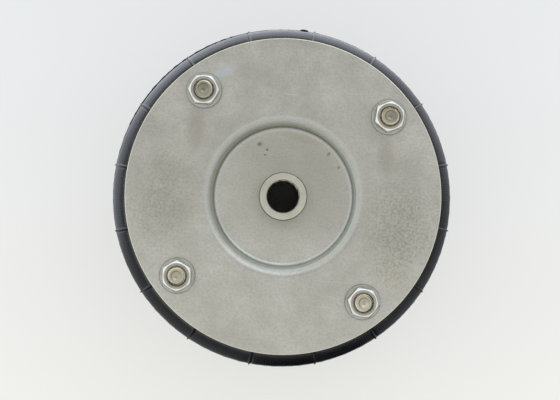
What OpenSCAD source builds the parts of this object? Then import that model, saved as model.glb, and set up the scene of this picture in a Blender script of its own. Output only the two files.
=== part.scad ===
// Double-convolution air bellows actuator with a loose flange ring at each end.
// The stroke runs along Z, and the end plate with the air port is on top.
// The origin lies on the stroke axis, level with the tips of the base bolts that it stands on.

/* [End plates] */
// Outside diameter of both pressed end plates
plate_d = 180; // [172:1:210]
// Sheet thickness of the end plates
plate_t = 4; // [3:0.5:5]
// Width of the bevel around the plate rims
plate_bevel = 0.6; // [0.3:0.1:1]

/* [Pressed dish] */
// Diameter at which the flat of a plate starts to bend into its dish
dish_d = 93; // [86:1:96]
// Depth of the dish floor below the plate's outer face
dish_depth = 6; // [4:0.5:8]
// Radius of the soft shoulder around the dish, on the plate's outer side
shoulder_r = 7; // [6:0.5:8]
// Radius of the corner where the wall meets the dish floor, on the plate's outer side
corner_r = 3; // [2.5:0.5:4]

/* [Air port] */
// Bore of the port, which is the minor diameter of a half inch pipe thread
port_bore_d = 18.63; // [14:0.01:20]
// Outside diameter of the port bung
bung_d = 27; // [25:0.5:29]
// Height that the bung stands above the dish floor
bung_proud = 2; // [1:0.5:4]
// Diameter of the collar that holds the bung from the inside
collar_d = 34; // [32:0.5:40]
// Thickness of the collar
collar_t = 3; // [2:0.5:5]
// Length of the bung below its collar
bung_tail = 9; // [6:0.5:14]
// Bevel at the mouth of the bore
port_bevel = 0.4; // [0.2:0.1:1]

/* [Fasteners] */
// Bolts on each end plate
bolt_count = 4; // [3:1:8]
// Distance of the bolt circle from the plate rim
bolt_margin = 15; // [12:0.5:16]
// Outside diameter of the bolt thread
thread_d = 10; // [8:1:11]
// Reduced shank of the bolts, as wide as the pitch diameter of the thread
shank_d = 9.03; // [7:0.01:9.5]
// Width across the flats of the nuts and bolt heads
hex_af = 16; // [14:0.5:17]
// Height of the bolt heads
head_h = 6.4; // [5:0.1:8]
// Height of the nuts
nut_h = 8.4; // [6:0.1:10]
// Outside diameter of the washers
washer_d = 20; // [18:0.5:24]
// Thickness of the washers
washer_t = 2; // [1:0.1:3]
// Free end of each bolt beyond its nut
bolt_tip = 3.6; // [2:0.1:8]
// Bevel at the tip of the bolts
tip_bevel = 0.8; // [0.4:0.1:1.2]
// Bevel at the mouths of the nuts
mouth_bevel = 1.1; // [0.6:0.1:1.4]
// Radius of the cup that thread rolling leaves in the bolt tips
cup_r = 3.2; // [1.5:0.1:3.5]
// Turn of each nut on the top plate
top_nut_turns = [43, 50, 52, 42]; // [0:1:60]
// Turn of each nut on the base plate
base_nut_turns = [12, 48, 21, 39]; // [0:1:60]

/* [Flange rings] */
// Thickness of the loose flange rings
ring_t = 12; // [10:0.5:16]
// Distance that a ring stays inside the plate rim
ring_inset = 1; // [0.5:0.5:3]
// Wall left between the bead seat and the bolt holes
ring_web = 2.3; // [2:0.1:4]
// Width of the hook that holds the bellows bead
hook_w = 5; // [4:0.5:6]
// Radius of the hook's nose, which the rubber bears against
nose_r = 2.5; // [1.5:0.5:3]
// Bevel on the outer edges of the rings
ring_bevel = 1; // [0.5:0.1:2]

/* [Bellows] */
// Distance that the crests stand outside the plate rim
crest_overhang = 10.4; // [8:0.1:16]
// Outside radius of each convolution
convolution_r = 22; // [18:0.5:26]
// Thickness of the rubber wall
wall_t = 4.5; // [3.5:0.5:5.5]
// Outside radius where the neck turns into the convolution
neck_fillet_r = 5; // [4:0.5:6]
// Thickness of the bead that is clamped at each end
bead_t = 7; // [6:0.5:8]
// Width of the sealing lip inside the neck
lip_w = 6; // [3:0.5:7]
// Height of the moulding flash along each crest
flash_h = 0.6; // [0.3:0.1:1]
// Thickness of the moulding flash
flash_t = 0.8; // [0.5:0.1:1.5]

/* [Girdle hoop] */
// Diameter of the rod that the hoop is bent from
hoop_rod_d = 10; // [8:0.5:12]
// Distance that the hoop's centre line lies outside the neck
hoop_offset = 6; // [4:0.5:8]

/* [Bead wires] */
// Diameter of the steel wire moulded into each bead
bead_wire_d = 3; // [2:0.5:3.5]

/* [Clearances] */
// Gap around a bolt in its holes
hole_gap = 0.5; // [0.3:0.1:0.8]
// Gap between a nut's bore and the bolt in it
thread_gap = 0.05; // [0.03:0.01:0.1]
// Gap between rubber and the steel around it
rubber_gap = 0.2; // [0.1:0.05:0.4]
// Gap between a moulded-in wire and the rubber
wire_gap = 0.05; // [0.02:0.01:0.1]
// Gap between the bung and the hole in the top plate
bung_gap = 0.3; // [0.1:0.05:0.5]
// Gap between the bolt heads and the first convolution
head_gap = 3.5; // [2:0.5:6]

/* [Hidden] */
$fn = 96;
// Straight steps along each bend of a pressed plate
arc_steps = 12;
// Overlap that joins two pieces of one solid
join = 0.4;

plate_r = plate_d / 2;
dish_r = dish_d / 2;
// The dish wall is two arcs that meet at this slope
bend = acos(1 - dish_depth / (shoulder_r + corner_r));
floor_r = dish_r - (shoulder_r + corner_r) * sin(bend);
bung_r = bung_d / 2;

bolt_circle_r = plate_r - bolt_margin;
bolt_hole_r = thread_d / 2 + hole_gap;
hex_corner_r = hex_af / 2 / cos(30);
// The chamfers of a hexagon leave a round face of this radius
hex_face_r = 0.455 * hex_af;
hex_slope = tan(30);

bead_seat_r = bolt_circle_r - bolt_hole_r - ring_web;
bead_r = bead_seat_r - rubber_gap;
ring_bore_r = bead_seat_r - hook_w;
neck_r = ring_bore_r - rubber_gap;
lip_r = neck_r - wall_t - lip_w;
ring_r = plate_r - ring_inset;

groove_r = hoop_rod_d / 2 + rubber_gap;
hoop_r = neck_r + hoop_offset;
crest_r = plate_r + crest_overhang;
convolution_x = crest_r - convolution_r;
convolution_z = groove_r + convolution_r;
fillet_x = neck_r + neck_fillet_r;
flank_z = convolution_z + convolution_r;
fillet_z = flank_z + neck_fillet_r;

// Heights above the middle of the bellows
head_z = flank_z + head_gap;
ring_z = head_z + head_h;
seat_z = ring_z + ring_t;
face_z = seat_z + plate_t;
nut_z = face_z + washer_t;
tip_z = nut_z + nut_h;
bead_z = seat_z - bead_t;
bead_wire_r = neck_r + bead_wire_d / 2;
bead_wire_z = bead_z + bead_t / 2;

// Height of the middle of the bellows above the base bolt tips
mid_z = tip_z + bolt_tip;

// The two bolt circles are staggered, so that their heads pass each other in compression
top_start = 45;
base_start = 0;

// A point at a distance and an angle from the origin
function polar(r, angle) = [r * cos(angle), r * sin(angle)];

// Points along an arc about a centre, from one angle to another
function arc(centre, r, from, to) =
    [for (i = [0 : arc_steps]) centre + polar(r, from + (to - from) * i / arc_steps)];

// A flat ring segment about the origin, up to half a turn long
module ring_sector(inner_r, outer_r, from, to) {
    reach = 2 * outer_r;
    intersection() {
        difference() {
            circle(outer_r);
            circle(inner_r);
        }
        polygon([[0, 0], polar(reach, from), polar(reach, (from + to) / 2), polar(reach, to)]);
    }
}

// Puts its children at the top end, with heights measured from the middle of the bellows
module top_end() {
    translate([0, 0, mid_z]) children();
}

// Puts its children at the base end, turned over about the X axis
module base_end() {
    translate([0, 0, mid_z]) rotate([180, 0, 0]) children();
}

// Repeats its children around the bolt circle
module on_bolt_circle(start) {
    for (i = [0 : bolt_count - 1]) {
        $bolt = i;
        rotate([0, 0, start + i * 360 / bolt_count]) translate([bolt_circle_r, 0, 0]) children();
    }
}

// Half section of a pressed plate, with its outer face at height 0
module plate_section(hole_r) {
    corner = [floor_r, corner_r - dish_depth];
    shoulder = [dish_r, -shoulder_r];
    polygon(concat(
        [[hole_r, -dish_depth]],
        arc(corner, corner_r, -90, bend - 90),
        arc(shoulder, shoulder_r, 90 + bend, 90),
        [[plate_r - plate_bevel, 0], [plate_r, -plate_bevel], [plate_r, plate_bevel - plate_t],
         [plate_r - plate_bevel, -plate_t]],
        arc(shoulder, shoulder_r - plate_t, 90, 90 + bend),
        arc(corner, corner_r + plate_t, bend - 90, -90),
        [[hole_r, -dish_depth - plate_t]]));
}

// A pressed plate with its bolt holes, and a hole for the air port where one is given
module pressed_plate(start, hole_r) {
    translate([0, 0, face_z]) difference() {
        rotate_extrude() plate_section(hole_r);
        on_bolt_circle(start) translate([0, 0, -2 * plate_t]) cylinder(r = bolt_hole_r, h = 3 * plate_t);
    }
}

// A loose ring that hooks over the bellows bead and bolts to the plate
module flange_ring(start) {
    hook_h = ring_t - bead_t;
    translate([0, 0, ring_z]) difference() {
        rotate_extrude() {
            polygon([[bead_seat_r, 0], [ring_r - ring_bevel, 0], [ring_r, ring_bevel], [ring_r, ring_t - ring_bevel],
                     [ring_r - ring_bevel, ring_t], [bead_seat_r, ring_t]]);
            translate([ring_bore_r + nose_r, nose_r]) circle(nose_r);
            translate([ring_bore_r + nose_r, 0]) square([hook_w - nose_r, hook_h]);
            translate([ring_bore_r, nose_r]) square([hook_w, hook_h - nose_r]);
        }
        on_bolt_circle(start) translate([0, 0, -ring_t]) cylinder(r = bolt_hole_r, h = 3 * ring_t);
    }
}

// Half section of one convolution with its neck and bead, above the middle of the bellows
module convolution_section() {
    translate([hoop_r, 0]) ring_sector(groove_r, groove_r + wall_t, 90, 180);
    translate([hoop_r, groove_r]) square([convolution_x - hoop_r, wall_t]);
    translate([convolution_x, convolution_z]) ring_sector(convolution_r - wall_t, convolution_r, -90, 90);
    translate([crest_r - join, convolution_z - flash_t / 2]) square([join + flash_h, flash_t]);
    translate([fillet_x, flank_z - wall_t]) square([convolution_x - fillet_x, wall_t]);
    translate([fillet_x, fillet_z]) ring_sector(neck_fillet_r, neck_fillet_r + wall_t, 180, 270);
    translate([neck_r - wall_t, fillet_z]) square([wall_t, bead_z - fillet_z]);
    difference() {
        translate([lip_r, bead_z]) square([bead_r - lip_r, bead_t]);
        translate([bead_wire_r, bead_wire_z]) circle(bead_wire_d / 2 + wire_gap);
    }
}

// A hexagon with both ends chamfered, or only the upper one
module hexagon(height, both_ends) {
    drop = (hex_corner_r - hex_face_r) * hex_slope;
    foot_r = both_ends ? hex_face_r : hex_corner_r;
    foot_h = both_ends ? drop : 0;
    intersection() {
        cylinder(r = hex_corner_r, h = height, $fn = 6);
        rotate_extrude()
            polygon([[0, 0], [foot_r, 0], [hex_corner_r, foot_h], [hex_corner_r, height - drop],
                     [hex_face_r, height], [0, height]]);
    }
}

// One bolt, from its head below the flange ring to its tip above the nut
module bolt() {
    grip = tip_z - ring_z;
    translate([0, 0, ring_z]) rotate([180, 0, 0]) hexagon(head_h, false);
    difference() {
        union() {
            translate([0, 0, ring_z - join]) cylinder(d = shank_d, h = grip + 2 * join);
            translate([0, 0, tip_z]) rotate_extrude()
                polygon([[0, 0], [thread_d / 2, 0], [thread_d / 2, bolt_tip - tip_bevel],
                         [thread_d / 2 - tip_bevel, bolt_tip], [0, bolt_tip]]);
        }
        translate([0, 0, tip_z + bolt_tip + cup_r]) sphere(cup_r * sqrt(2));
    }
}

module washer() {
    translate([0, 0, face_z]) difference() {
        cylinder(d = washer_d, h = washer_t);
        translate([0, 0, -washer_t]) cylinder(d = thread_d + hole_gap, h = 3 * washer_t);
    }
}

module nut(turn) {
    bore_r = shank_d / 2 + thread_gap;
    mouth_r = bore_r + mouth_bevel;
    translate([0, 0, nut_z]) rotate([0, 0, turn]) difference() {
        hexagon(nut_h, true);
        rotate_extrude()
            polygon([[0, -nut_h], [mouth_r, -nut_h], [mouth_r, 0], [bore_r, mouth_bevel],
                     [bore_r, nut_h - mouth_bevel], [mouth_r, nut_h], [mouth_r, 2 * nut_h], [0, 2 * nut_h]]);
    }
}

// A steel ring of round rod at a height above the middle of the bellows
module rod_ring(centre_r, height, rod_d) {
    translate([0, 0, height]) rotate_extrude() translate([centre_r, 0]) circle(d = rod_d);
}

module base_plate() color([0.68, 0.68, 0.65]) base_end() pressed_plate(base_start, 0);

module base_flange_ring() color([0.55, 0.56, 0.55]) base_end() flange_ring(base_start);

module base_bead_wire() color([0.5, 0.5, 0.5]) base_end() rod_ring(bead_wire_r, bead_wire_z, bead_wire_d);

module base_bolts() color([0.75, 0.74, 0.66]) base_end() on_bolt_circle(base_start) bolt();

module base_washers() color([0.66, 0.67, 0.65]) base_end() on_bolt_circle(base_start) washer();

module base_nuts()
    color([0.78, 0.79, 0.78]) base_end()
        on_bolt_circle(base_start) nut(base_nut_turns[$bolt % len(base_nut_turns)]);

module bellows() {
    color([0.12, 0.12, 0.13]) translate([0, 0, mid_z]) rotate_extrude() {
        convolution_section();
        mirror([0, 1]) convolution_section();
    }
}

module girdle_hoop() color([0.45, 0.46, 0.46]) top_end() rod_ring(hoop_r, 0, hoop_rod_d);

module top_plate() color([0.68, 0.68, 0.65]) top_end() pressed_plate(top_start, bung_r + bung_gap);

// A threaded bung whose collar sits against the underside of the dish
module air_port() {
    lower_z = face_z - dish_depth - plate_t;
    upper_z = face_z - dish_depth + bung_proud;
    foot_z = lower_z - collar_t - bung_tail;
    bore_r = port_bore_d / 2;
    mouth_r = bore_r + port_bevel;
    color([0.78, 0.77, 0.7]) top_end() rotate_extrude()
        polygon([[bore_r, foot_z + port_bevel], [mouth_r, foot_z], [bung_r, foot_z], [bung_r, lower_z - collar_t],
                 [collar_d / 2, lower_z - collar_t], [collar_d / 2, lower_z], [bung_r, lower_z],
                 [bung_r, upper_z], [mouth_r, upper_z], [bore_r, upper_z - port_bevel]]);
}

module top_flange_ring() color([0.55, 0.56, 0.55]) top_end() flange_ring(top_start);

module top_bead_wire() color([0.5, 0.5, 0.5]) top_end() rod_ring(bead_wire_r, bead_wire_z, bead_wire_d);

module top_bolts() color([0.75, 0.74, 0.66]) top_end() on_bolt_circle(top_start) bolt();

module top_washers() color([0.66, 0.67, 0.65]) top_end() on_bolt_circle(top_start) washer();

module top_nuts()
    color([0.78, 0.79, 0.78]) top_end()
        on_bolt_circle(top_start) nut(top_nut_turns[$bolt % len(top_nut_turns)]);

base_plate();
base_flange_ring();
base_bead_wire();
base_bolts();
base_washers();
base_nuts();
bellows();
girdle_hoop();
top_plate();
air_port();
top_flange_ring();
top_bead_wire();
top_bolts();
top_washers();
top_nuts();
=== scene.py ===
"""Looks of a double-convolution air bellows actuator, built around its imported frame.

Lengths in the classes are millimetres, as on a drawing, and become metres where a mesh is made. The heights
of the end pieces count from the middle of the bellows, and the base end is the top end turned over.
"""

import logging
import math
from dataclasses import dataclass, field
from enum import Enum
from functools import partial
from typing import Callable

import bpy
import bmesh
import numpy as np
from mathutils import Matrix, Vector


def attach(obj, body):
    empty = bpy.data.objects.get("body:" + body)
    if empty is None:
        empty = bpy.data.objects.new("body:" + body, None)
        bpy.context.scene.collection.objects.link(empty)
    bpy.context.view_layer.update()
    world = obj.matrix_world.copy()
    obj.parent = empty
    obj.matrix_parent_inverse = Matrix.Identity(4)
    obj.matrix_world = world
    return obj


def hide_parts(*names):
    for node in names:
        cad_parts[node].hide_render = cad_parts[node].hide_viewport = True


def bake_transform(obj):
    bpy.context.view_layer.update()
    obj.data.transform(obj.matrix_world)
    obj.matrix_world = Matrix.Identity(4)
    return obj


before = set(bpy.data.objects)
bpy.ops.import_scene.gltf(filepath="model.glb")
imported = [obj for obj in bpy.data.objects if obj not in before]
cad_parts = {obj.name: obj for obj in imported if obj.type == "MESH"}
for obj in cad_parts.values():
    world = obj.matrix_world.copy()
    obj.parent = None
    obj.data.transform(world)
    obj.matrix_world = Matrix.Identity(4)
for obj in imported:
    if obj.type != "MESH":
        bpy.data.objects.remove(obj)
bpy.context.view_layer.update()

LOG = logging.getLogger("bellows_actuator")
MM = 0.001
TURN = 2 * math.pi
# Middle of the bellows above the base bolt tips
MID_Z = 89.1
# Radii of the bolt circle and of its holes
BOLT_CIRCLE_R = 75.0
BOLT_HOLE_R = 5.5
# Edges that bend by more degrees than this stay sharp
SHARP = 35.0
# Points that lie closer together than this, in metres, become one
MERGE_DISTANCE = 1e-7
# Most of the numbers that a noise gives lie in this range
NOISE_SPAN = (0.3, 0.7)

Socket = bpy.types.NodeSocket
Inputs = dict[int | str, object]


class End(Enum):
    """The two ends, by the body that carries them."""

    TOP = "top"
    BASE = "base"

    @property
    def place(self) -> Matrix:
        """Transform from heights above the middle of the bellows to the row frame, in millimetres."""
        turn = Matrix.Rotation(math.pi, 4, "X") if self is End.BASE else Matrix.Identity(4)
        return Matrix.Translation((0, 0, MID_Z)) @ turn

    @property
    def first_bolt(self) -> float:
        """Angle of the first bolt in degrees: the two bolt circles are staggered."""
        return 45.0 if self is End.TOP else 0.0


class Thread(Enum):
    """Screw threads, as pitch and depth in millimetres."""

    METRIC_10 = (1.5, 0.92)
    PIPE_HALF_INCH = (1.814, 1.162)

    def groove(self, angle: np.ndarray, height: np.ndarray) -> np.ndarray:
        """Find the depth of the groove below the crest.

        Args:
            angle: Angles about the axis, in radians.
            height: Heights along the axis, in millimetres.

        Returns:
            The depth at each angle and height, in millimetres.
        """
        pitch, depth = self.value
        crest_flat, root_flat = 1 / 8, 1 / 4
        phase = (height / pitch - angle / TURN) % 1.0
        from_root = np.abs(phase - 0.5) * 2
        return depth * np.clip((1 - crest_flat - from_root) / (1 - crest_flat - root_flat), 0, 1)


def linear(code: str) -> tuple[float, float, float, float]:
    """Turn an sRGB hex colour into linear RGBA."""
    parts = [int(code[i:i + 2], 16) / 255 for i in (1, 3, 5)]
    return (*(c / 12.92 if c <= 0.04045 else ((c + 0.055) / 1.055) ** 2.4 for c in parts), 1.0)


def per_metre(size_mm: float) -> float:
    """Find the texture scale that gives features of one size."""
    return 1 / (size_mm * MM)


class Graph:
    """A node tree, with short ways to add the nodes that the finishes and the studio share."""

    def __init__(self, tree: bpy.types.NodeTree) -> None:
        """Take over a node tree and empty it."""
        self.tree = tree
        tree.nodes.clear()

    def add(self, kind: str, inputs: Inputs | None = None, **settings) -> bpy.types.Node:
        """Add one node with its settings, values and links.

        Args:
            kind: Blender's name of the node type, without the prefix that all of them share.
            inputs: Socket names or numbers, each with a value or with the socket that feeds it.
            **settings: Properties of the node itself.

        Returns:
            The new node.
        """
        node = self.tree.nodes.new(f"ShaderNode{kind}")
        for name, value in settings.items():
            setattr(node, name, value)
        for key, value in (inputs or {}).items():
            if isinstance(value, Socket):
                self.tree.links.new(value, node.inputs[key])
            else:
                node.inputs[key].default_value = value
        return node

    def math(self, operation: str, *values: Socket | float) -> Socket:
        """Work out a number from sockets or numbers, by Blender's name of the operation."""
        return self.add("Math", dict(enumerate(values)), operation=operation).outputs[0]

    def vector(self, operation: str, *values: Socket | tuple | Vector) -> Socket:
        """Work out a vector, or for a length or a dot product a number, from vectors."""
        node = self.add("VectorMath", dict(enumerate(values)), operation=operation)
        return node.outputs["Value" if operation in ("LENGTH", "DOT_PRODUCT") else "Vector"]

    def off_axis(self, place: Socket) -> Socket:
        """Find how far a place lies from the Z axis."""
        return self.vector("LENGTH", self.vector("MULTIPLY", place, (1, 1, 0)))

    def remap(self, value: Socket, low: float, high: float, to_low: float = 0.0, to_high: float = 1.0,
              soft: bool = False) -> Socket:
        """Carry a number from one range over to another and hold it at the ends, eased if soft."""
        ends = {"Value": value, "From Min": low, "From Max": high, "To Min": to_low, "To Max": to_high}
        return self.add("MapRange", ends, interpolation_type="SMOOTHSTEP" if soft else "LINEAR").outputs[0]

    def mix(self, share: Socket, first: Socket | str, second: Socket | str) -> Socket:
        """Mix two colours, each a socket or a hex colour, by the share of the second."""
        first, second = (linear(c) if isinstance(c, str) else c for c in (first, second))
        return self.add("Mix", {0: share, 6: first, 7: second}, data_type="RGBA").outputs[2]

    def noise(self, place: Socket, size_mm: float, detail: float, roughness: float = 0.5) -> Socket:
        """Add soft noise with features of one size, in finer layers that each weigh less."""
        return self.add("TexNoise", {"Vector": place, "Scale": per_metre(size_mm), "Detail": detail,
                                     "Roughness": roughness}).outputs[0]

    def bump(self, height: Socket, strength: float, depth_mm: float) -> Socket:
        """Bend the normals over a fine relief, whose depth counts for a height of 1."""
        values = {"Height": height, "Strength": strength, "Distance": depth_mm * MM}
        return self.add("Bump", values).outputs[0]


def arc(centre: tuple[float, float], radius: float, start: float, stop: float, steps: int) -> list:
    """Place points along an arc in the section, from one angle in degrees to another."""
    angles = np.radians(np.linspace(start, stop, steps + 1))
    return [(centre[0] + radius * math.cos(a), centre[1] + radius * math.sin(a)) for a in angles]


def away_from(angles: np.ndarray | float, centre: float, period: float = TURN) -> np.ndarray | float:
    """Find how far angles lie from a centre, or from the nearest of several that are evenly spaced."""
    return (angles - centre + period / 2) % period - period / 2


def rounded(corners: list[tuple[float, float, float]], steps: int = 4) -> list:
    """Draw an outline with rounded corners.

    Args:
        corners: Corners of a closed outline, each as radius, height and rounding.
        steps: Straight steps along each rounding.

    Returns:
        The points of the closed outline.
    """
    points = []
    for i, (r, z, rounding) in enumerate(corners):
        if rounding <= 0:
            points.append((r, z))
            continue
        here = np.array((r, z))
        before = np.array(corners[i - 1][:2]) - here
        after = np.array(corners[(i + 1) % len(corners)][:2]) - here
        before, after = before / np.linalg.norm(before), after / np.linalg.norm(after)
        half = math.acos(float(np.clip(before @ after, -1, 1))) / 2
        reach = rounding / math.tan(half)
        middle = here + (before + after) / np.linalg.norm(before + after) * rounding / math.sin(half)
        first, last = here + before * reach - middle, here + after * reach - middle
        start = math.atan2(first[1], first[0])
        sweep = away_from(math.atan2(last[1], last[0]), start)
        points += [tuple(middle + rounding * np.array((math.cos(a), math.sin(a))))
                   for a in start + sweep * np.linspace(0, 1, steps + 1)]
    return points


def refine(outline: list, step: float, closed: bool = True) -> np.ndarray:
    """Add points along the straight stretches of an outline.

    Args:
        outline: Points of the outline.
        step: Longest stretch to leave.
        closed: Whether the last point joins the first.

    Returns:
        The points as an array with two columns.
    """
    points = [np.array(p, float) for p in outline]
    result = []
    for i, here in enumerate(points):
        result.append(here)
        if i + 1 == len(points) and not closed:
            break
        there = points[(i + 1) % len(points)]
        count = int(np.linalg.norm(there - here) // step)
        result += [here + (there - here) * k / (count + 1) for k in range(1, count + 1)]
    return np.array(result)


def revolve(radii: np.ndarray, heights: np.ndarray, angles: np.ndarray) -> np.ndarray:
    """Turn radii and heights, by column and row or one row for all columns, into points."""
    a = angles[:, None]
    return np.stack([radii * np.cos(a), radii * np.sin(a), heights + 0 * a], axis=2)


def stack_rows(pairs: list, angles: np.ndarray) -> np.ndarray:
    """Turn rows, each a radius and a height as numbers or by angle, into points."""
    radii, heights = (np.stack([np.broadcast_to(value, angles.shape) for value in values], axis=1)
                      for values in zip(*pairs))
    return revolve(radii, heights, angles)


def even_angles(count: int) -> np.ndarray:
    """Space angles evenly around one turn."""
    return np.linspace(0, TURN, count, endpoint=False)


def ripple(angles: np.ndarray, orders: range, size: float, seed: int) -> np.ndarray:
    """Make smooth seeded waviness around one turn.

    Args:
        angles: Angles in radians.
        orders: Wave counts that are added together.
        size: Largest departure from zero.
        seed: Seed of the waves.

    Returns:
        The waviness at each angle.
    """
    draw = np.random.default_rng(seed)
    waves = [draw.normal() * np.cos(k * angles + draw.uniform(0, TURN)) for k in orders]
    total = np.sum(waves, axis=0)
    return size * total / np.abs(total).max()


def make_piece(name: str, grids: list[np.ndarray], place: Matrix, closed: bool = True,
               sharp: float = SHARP) -> bpy.types.Object:
    """Make one mesh object from grids of points.

    Args:
        name: Name of the piece.
        grids: Points by column and row in millimetres; the columns always close on themselves.
        place: Transform to the row frame, in millimetres.
        closed: Whether the rows close on themselves too.
        sharp: Edges that bend by more than this many degrees stay sharp.

    Returns:
        The object, with its vertices in the row frame in metres.
    """
    vertices, faces, offset = [], [], 0
    turn = np.array(place)
    for grid in grids:
        columns, rows = grid.shape[:2]
        flat = grid.reshape(-1, 3)
        vertices.append((flat @ turn[:3, :3].T + turn[:3, 3]) * MM)
        i, j = np.meshgrid(np.arange(columns), np.arange(rows if closed else rows - 1), indexing="ij")
        i_next, j_next = (i + 1) % columns, (j + 1) % rows
        quads = np.stack([i * rows + j, i_next * rows + j, i_next * rows + j_next, i * rows + j_next], axis=2)
        faces.append(quads.reshape(-1, 4) + offset)
        offset += len(flat)
    mesh = bpy.data.meshes.new(name)
    mesh.from_pydata(np.concatenate(vertices).tolist(), [], np.concatenate(faces).tolist())
    work = bmesh.new()
    work.from_mesh(mesh)
    bmesh.ops.remove_doubles(work, verts=work.verts, dist=MERGE_DISTANCE)
    work.to_mesh(mesh)
    work.free()
    piece = bpy.data.objects.new(name, mesh)
    bpy.context.scene.collection.objects.link(piece)
    smooth(piece, sharp)
    return piece


def smooth(piece: bpy.types.Object, sharp: float = SHARP) -> None:
    """Shade a piece smooth, apart from edges that bend by more than a number of degrees."""
    piece.data.polygons.foreach_set("use_smooth", [True] * len(piece.data.polygons))
    piece.data.set_sharp_from_angle(angle=math.radians(sharp))


def around(grid: np.ndarray, end: End, turns: tuple[float, ...] = (0, 0, 0, 0)) -> list[np.ndarray]:
    """Copy a grid onto the bolt circle of one end.

    Args:
        grid: Points about the bolt's own axis.
        end: End that takes them.
        turns: Turn of each copy about its own axis, in degrees.

    Returns:
        One grid for each bolt.
    """
    copies = []
    for i, turn in enumerate(turns):
        where = math.radians(end.first_bolt + i * 360 / len(turns))
        move = Matrix.Rotation(where, 4, "Z") @ Matrix.Translation((BOLT_CIRCLE_R, 0, 0))
        move = np.array(move @ Matrix.Rotation(math.radians(turn), 4, "Z"))
        copies.append(grid @ move[:3, :3].T + move[:3, 3])
    return copies


def drill(piece: bpy.types.Object, end: End, height: float) -> None:
    """Cut the bolt holes of one end through a piece.

    Args:
        piece: Piece to cut, with its vertices in the row frame.
        end: End that it belongs to.
        height: Middle of the cut above the middle of the bellows.
    """
    reach, columns = 40.0, 48
    low, high = height - reach, height + reach
    bit = revolve(np.array([0, BOLT_HOLE_R, BOLT_HOLE_R, 0]), np.array([low, low, high, high]),
                  even_angles(columns))
    cutter = make_piece("drill_bits", around(bit, end), end.place, closed=False)
    modifier = piece.modifiers.new("holes", "BOOLEAN")
    modifier.object, modifier.operation, modifier.solver = cutter, "DIFFERENCE", "EXACT"
    bpy.context.view_layer.update()
    cut = bpy.data.meshes.new_from_object(piece.evaluated_get(bpy.context.evaluated_depsgraph_get()))
    piece.modifiers.clear()
    piece.data = cut
    bpy.data.objects.remove(cutter)
    smooth(piece)


@dataclass(frozen=True)
class Hexagon:
    """A hexagon with rounded edges, by its width across the flats and the radius of its edges."""

    flats: float
    edge: float

    @property
    def edge_centre_r(self) -> float:
        """Distance from the axis to the centre of a rounded edge."""
        return (self.flats / 2 - self.edge) / math.cos(TURN / 12)

    @property
    def edge_angle(self) -> float:
        """Half the angle, in radians, that a rounded edge takes up."""
        across, along = self.edge * math.sin(TURN / 12), self.edge * math.cos(TURN / 12)
        return math.atan2(across, self.edge_centre_r + along)

    def columns(self) -> np.ndarray:
        """Space columns around the hexagon, close together at its edges.

        Returns:
            Their angles from one of the corners, in radians.
        """
        half = self.edge_angle
        sector = np.concatenate([np.linspace(-half, half, 5), np.linspace(half, TURN / 6 - half, 9)[1:-1]])
        return np.concatenate([sector + k * TURN / 6 for k in range(6)])

    def radius(self, angles: np.ndarray) -> np.ndarray:
        """Find the distance from the axis to the sides.

        Args:
            angles: Angles from one of the corners, in radians.

        Returns:
            The distance at each angle.
        """
        off = np.abs(away_from(angles, 0.0, TURN / 6))
        flat = self.flats / 2 / np.cos(TURN / 12 - off)
        bulge = np.sqrt(np.maximum(self.edge ** 2 - (self.edge_centre_r * np.sin(off)) ** 2, 0))
        return np.where(off < self.edge_angle, self.edge_centre_r * np.cos(off) + bulge, flat)


@dataclass(frozen=True)
class Mark:
    """A soft stain, smear or speck, or a patch of painted shade, in millimetres and degrees in the row frame.
    """

    x: float
    y: float
    length: float
    width: float
    angle: float
    colour: str
    strength: float

    def lay(self, graph: Graph, place: Socket, uneven: Socket, colour: Socket) -> Socket:
        """Lay the mark over a colour.

        Args:
            graph: Nodes of the material.
            place: Place on the piece.
            uneven: Noise that breaks up the mark.
            colour: Colour under the mark.

        Returns:
            The colour with its mark.
        """
        spot = graph.add("Mapping", {
            "Vector": place, "Location": (self.x * MM, self.y * MM, 0),
            "Rotation": (0, 0, math.radians(self.angle)),
            "Scale": (self.length / 2 * MM, self.width / 2 * MM, 1)}, vector_type="TEXTURE").outputs[0]
        spot = graph.add("TexGradient", {"Vector": spot}, gradient_type="SPHERICAL").outputs[1]
        spot = graph.remap(graph.math("MULTIPLY", spot, uneven), 0.04, 0.34, 0.0, self.strength, soft=True)
        return graph.mix(spot, colour, self.colour)


@dataclass(frozen=True)
class Finish:
    """A procedural surface; each kind below says how it was made and lays its own nodes."""

    name: str

    def build(self) -> bpy.types.Material:
        """Make the material.

        Returns:
            The material with all its nodes.
        """
        material = bpy.data.materials.new(self.name)
        material.use_nodes = True
        graph = Graph(material.node_tree)
        shader = graph.add("BsdfPrincipled", self.paint(graph))
        graph.add("OutputMaterial", {"Surface": shader.outputs[0]})
        return material

    def paint(self, graph: Graph) -> Inputs:
        """Lay the nodes of the surface.

        Args:
            graph: Nodes of the material.

        Returns:
            What feeds the shader, by the name of its socket.
        """
        raise NotImplementedError


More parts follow.
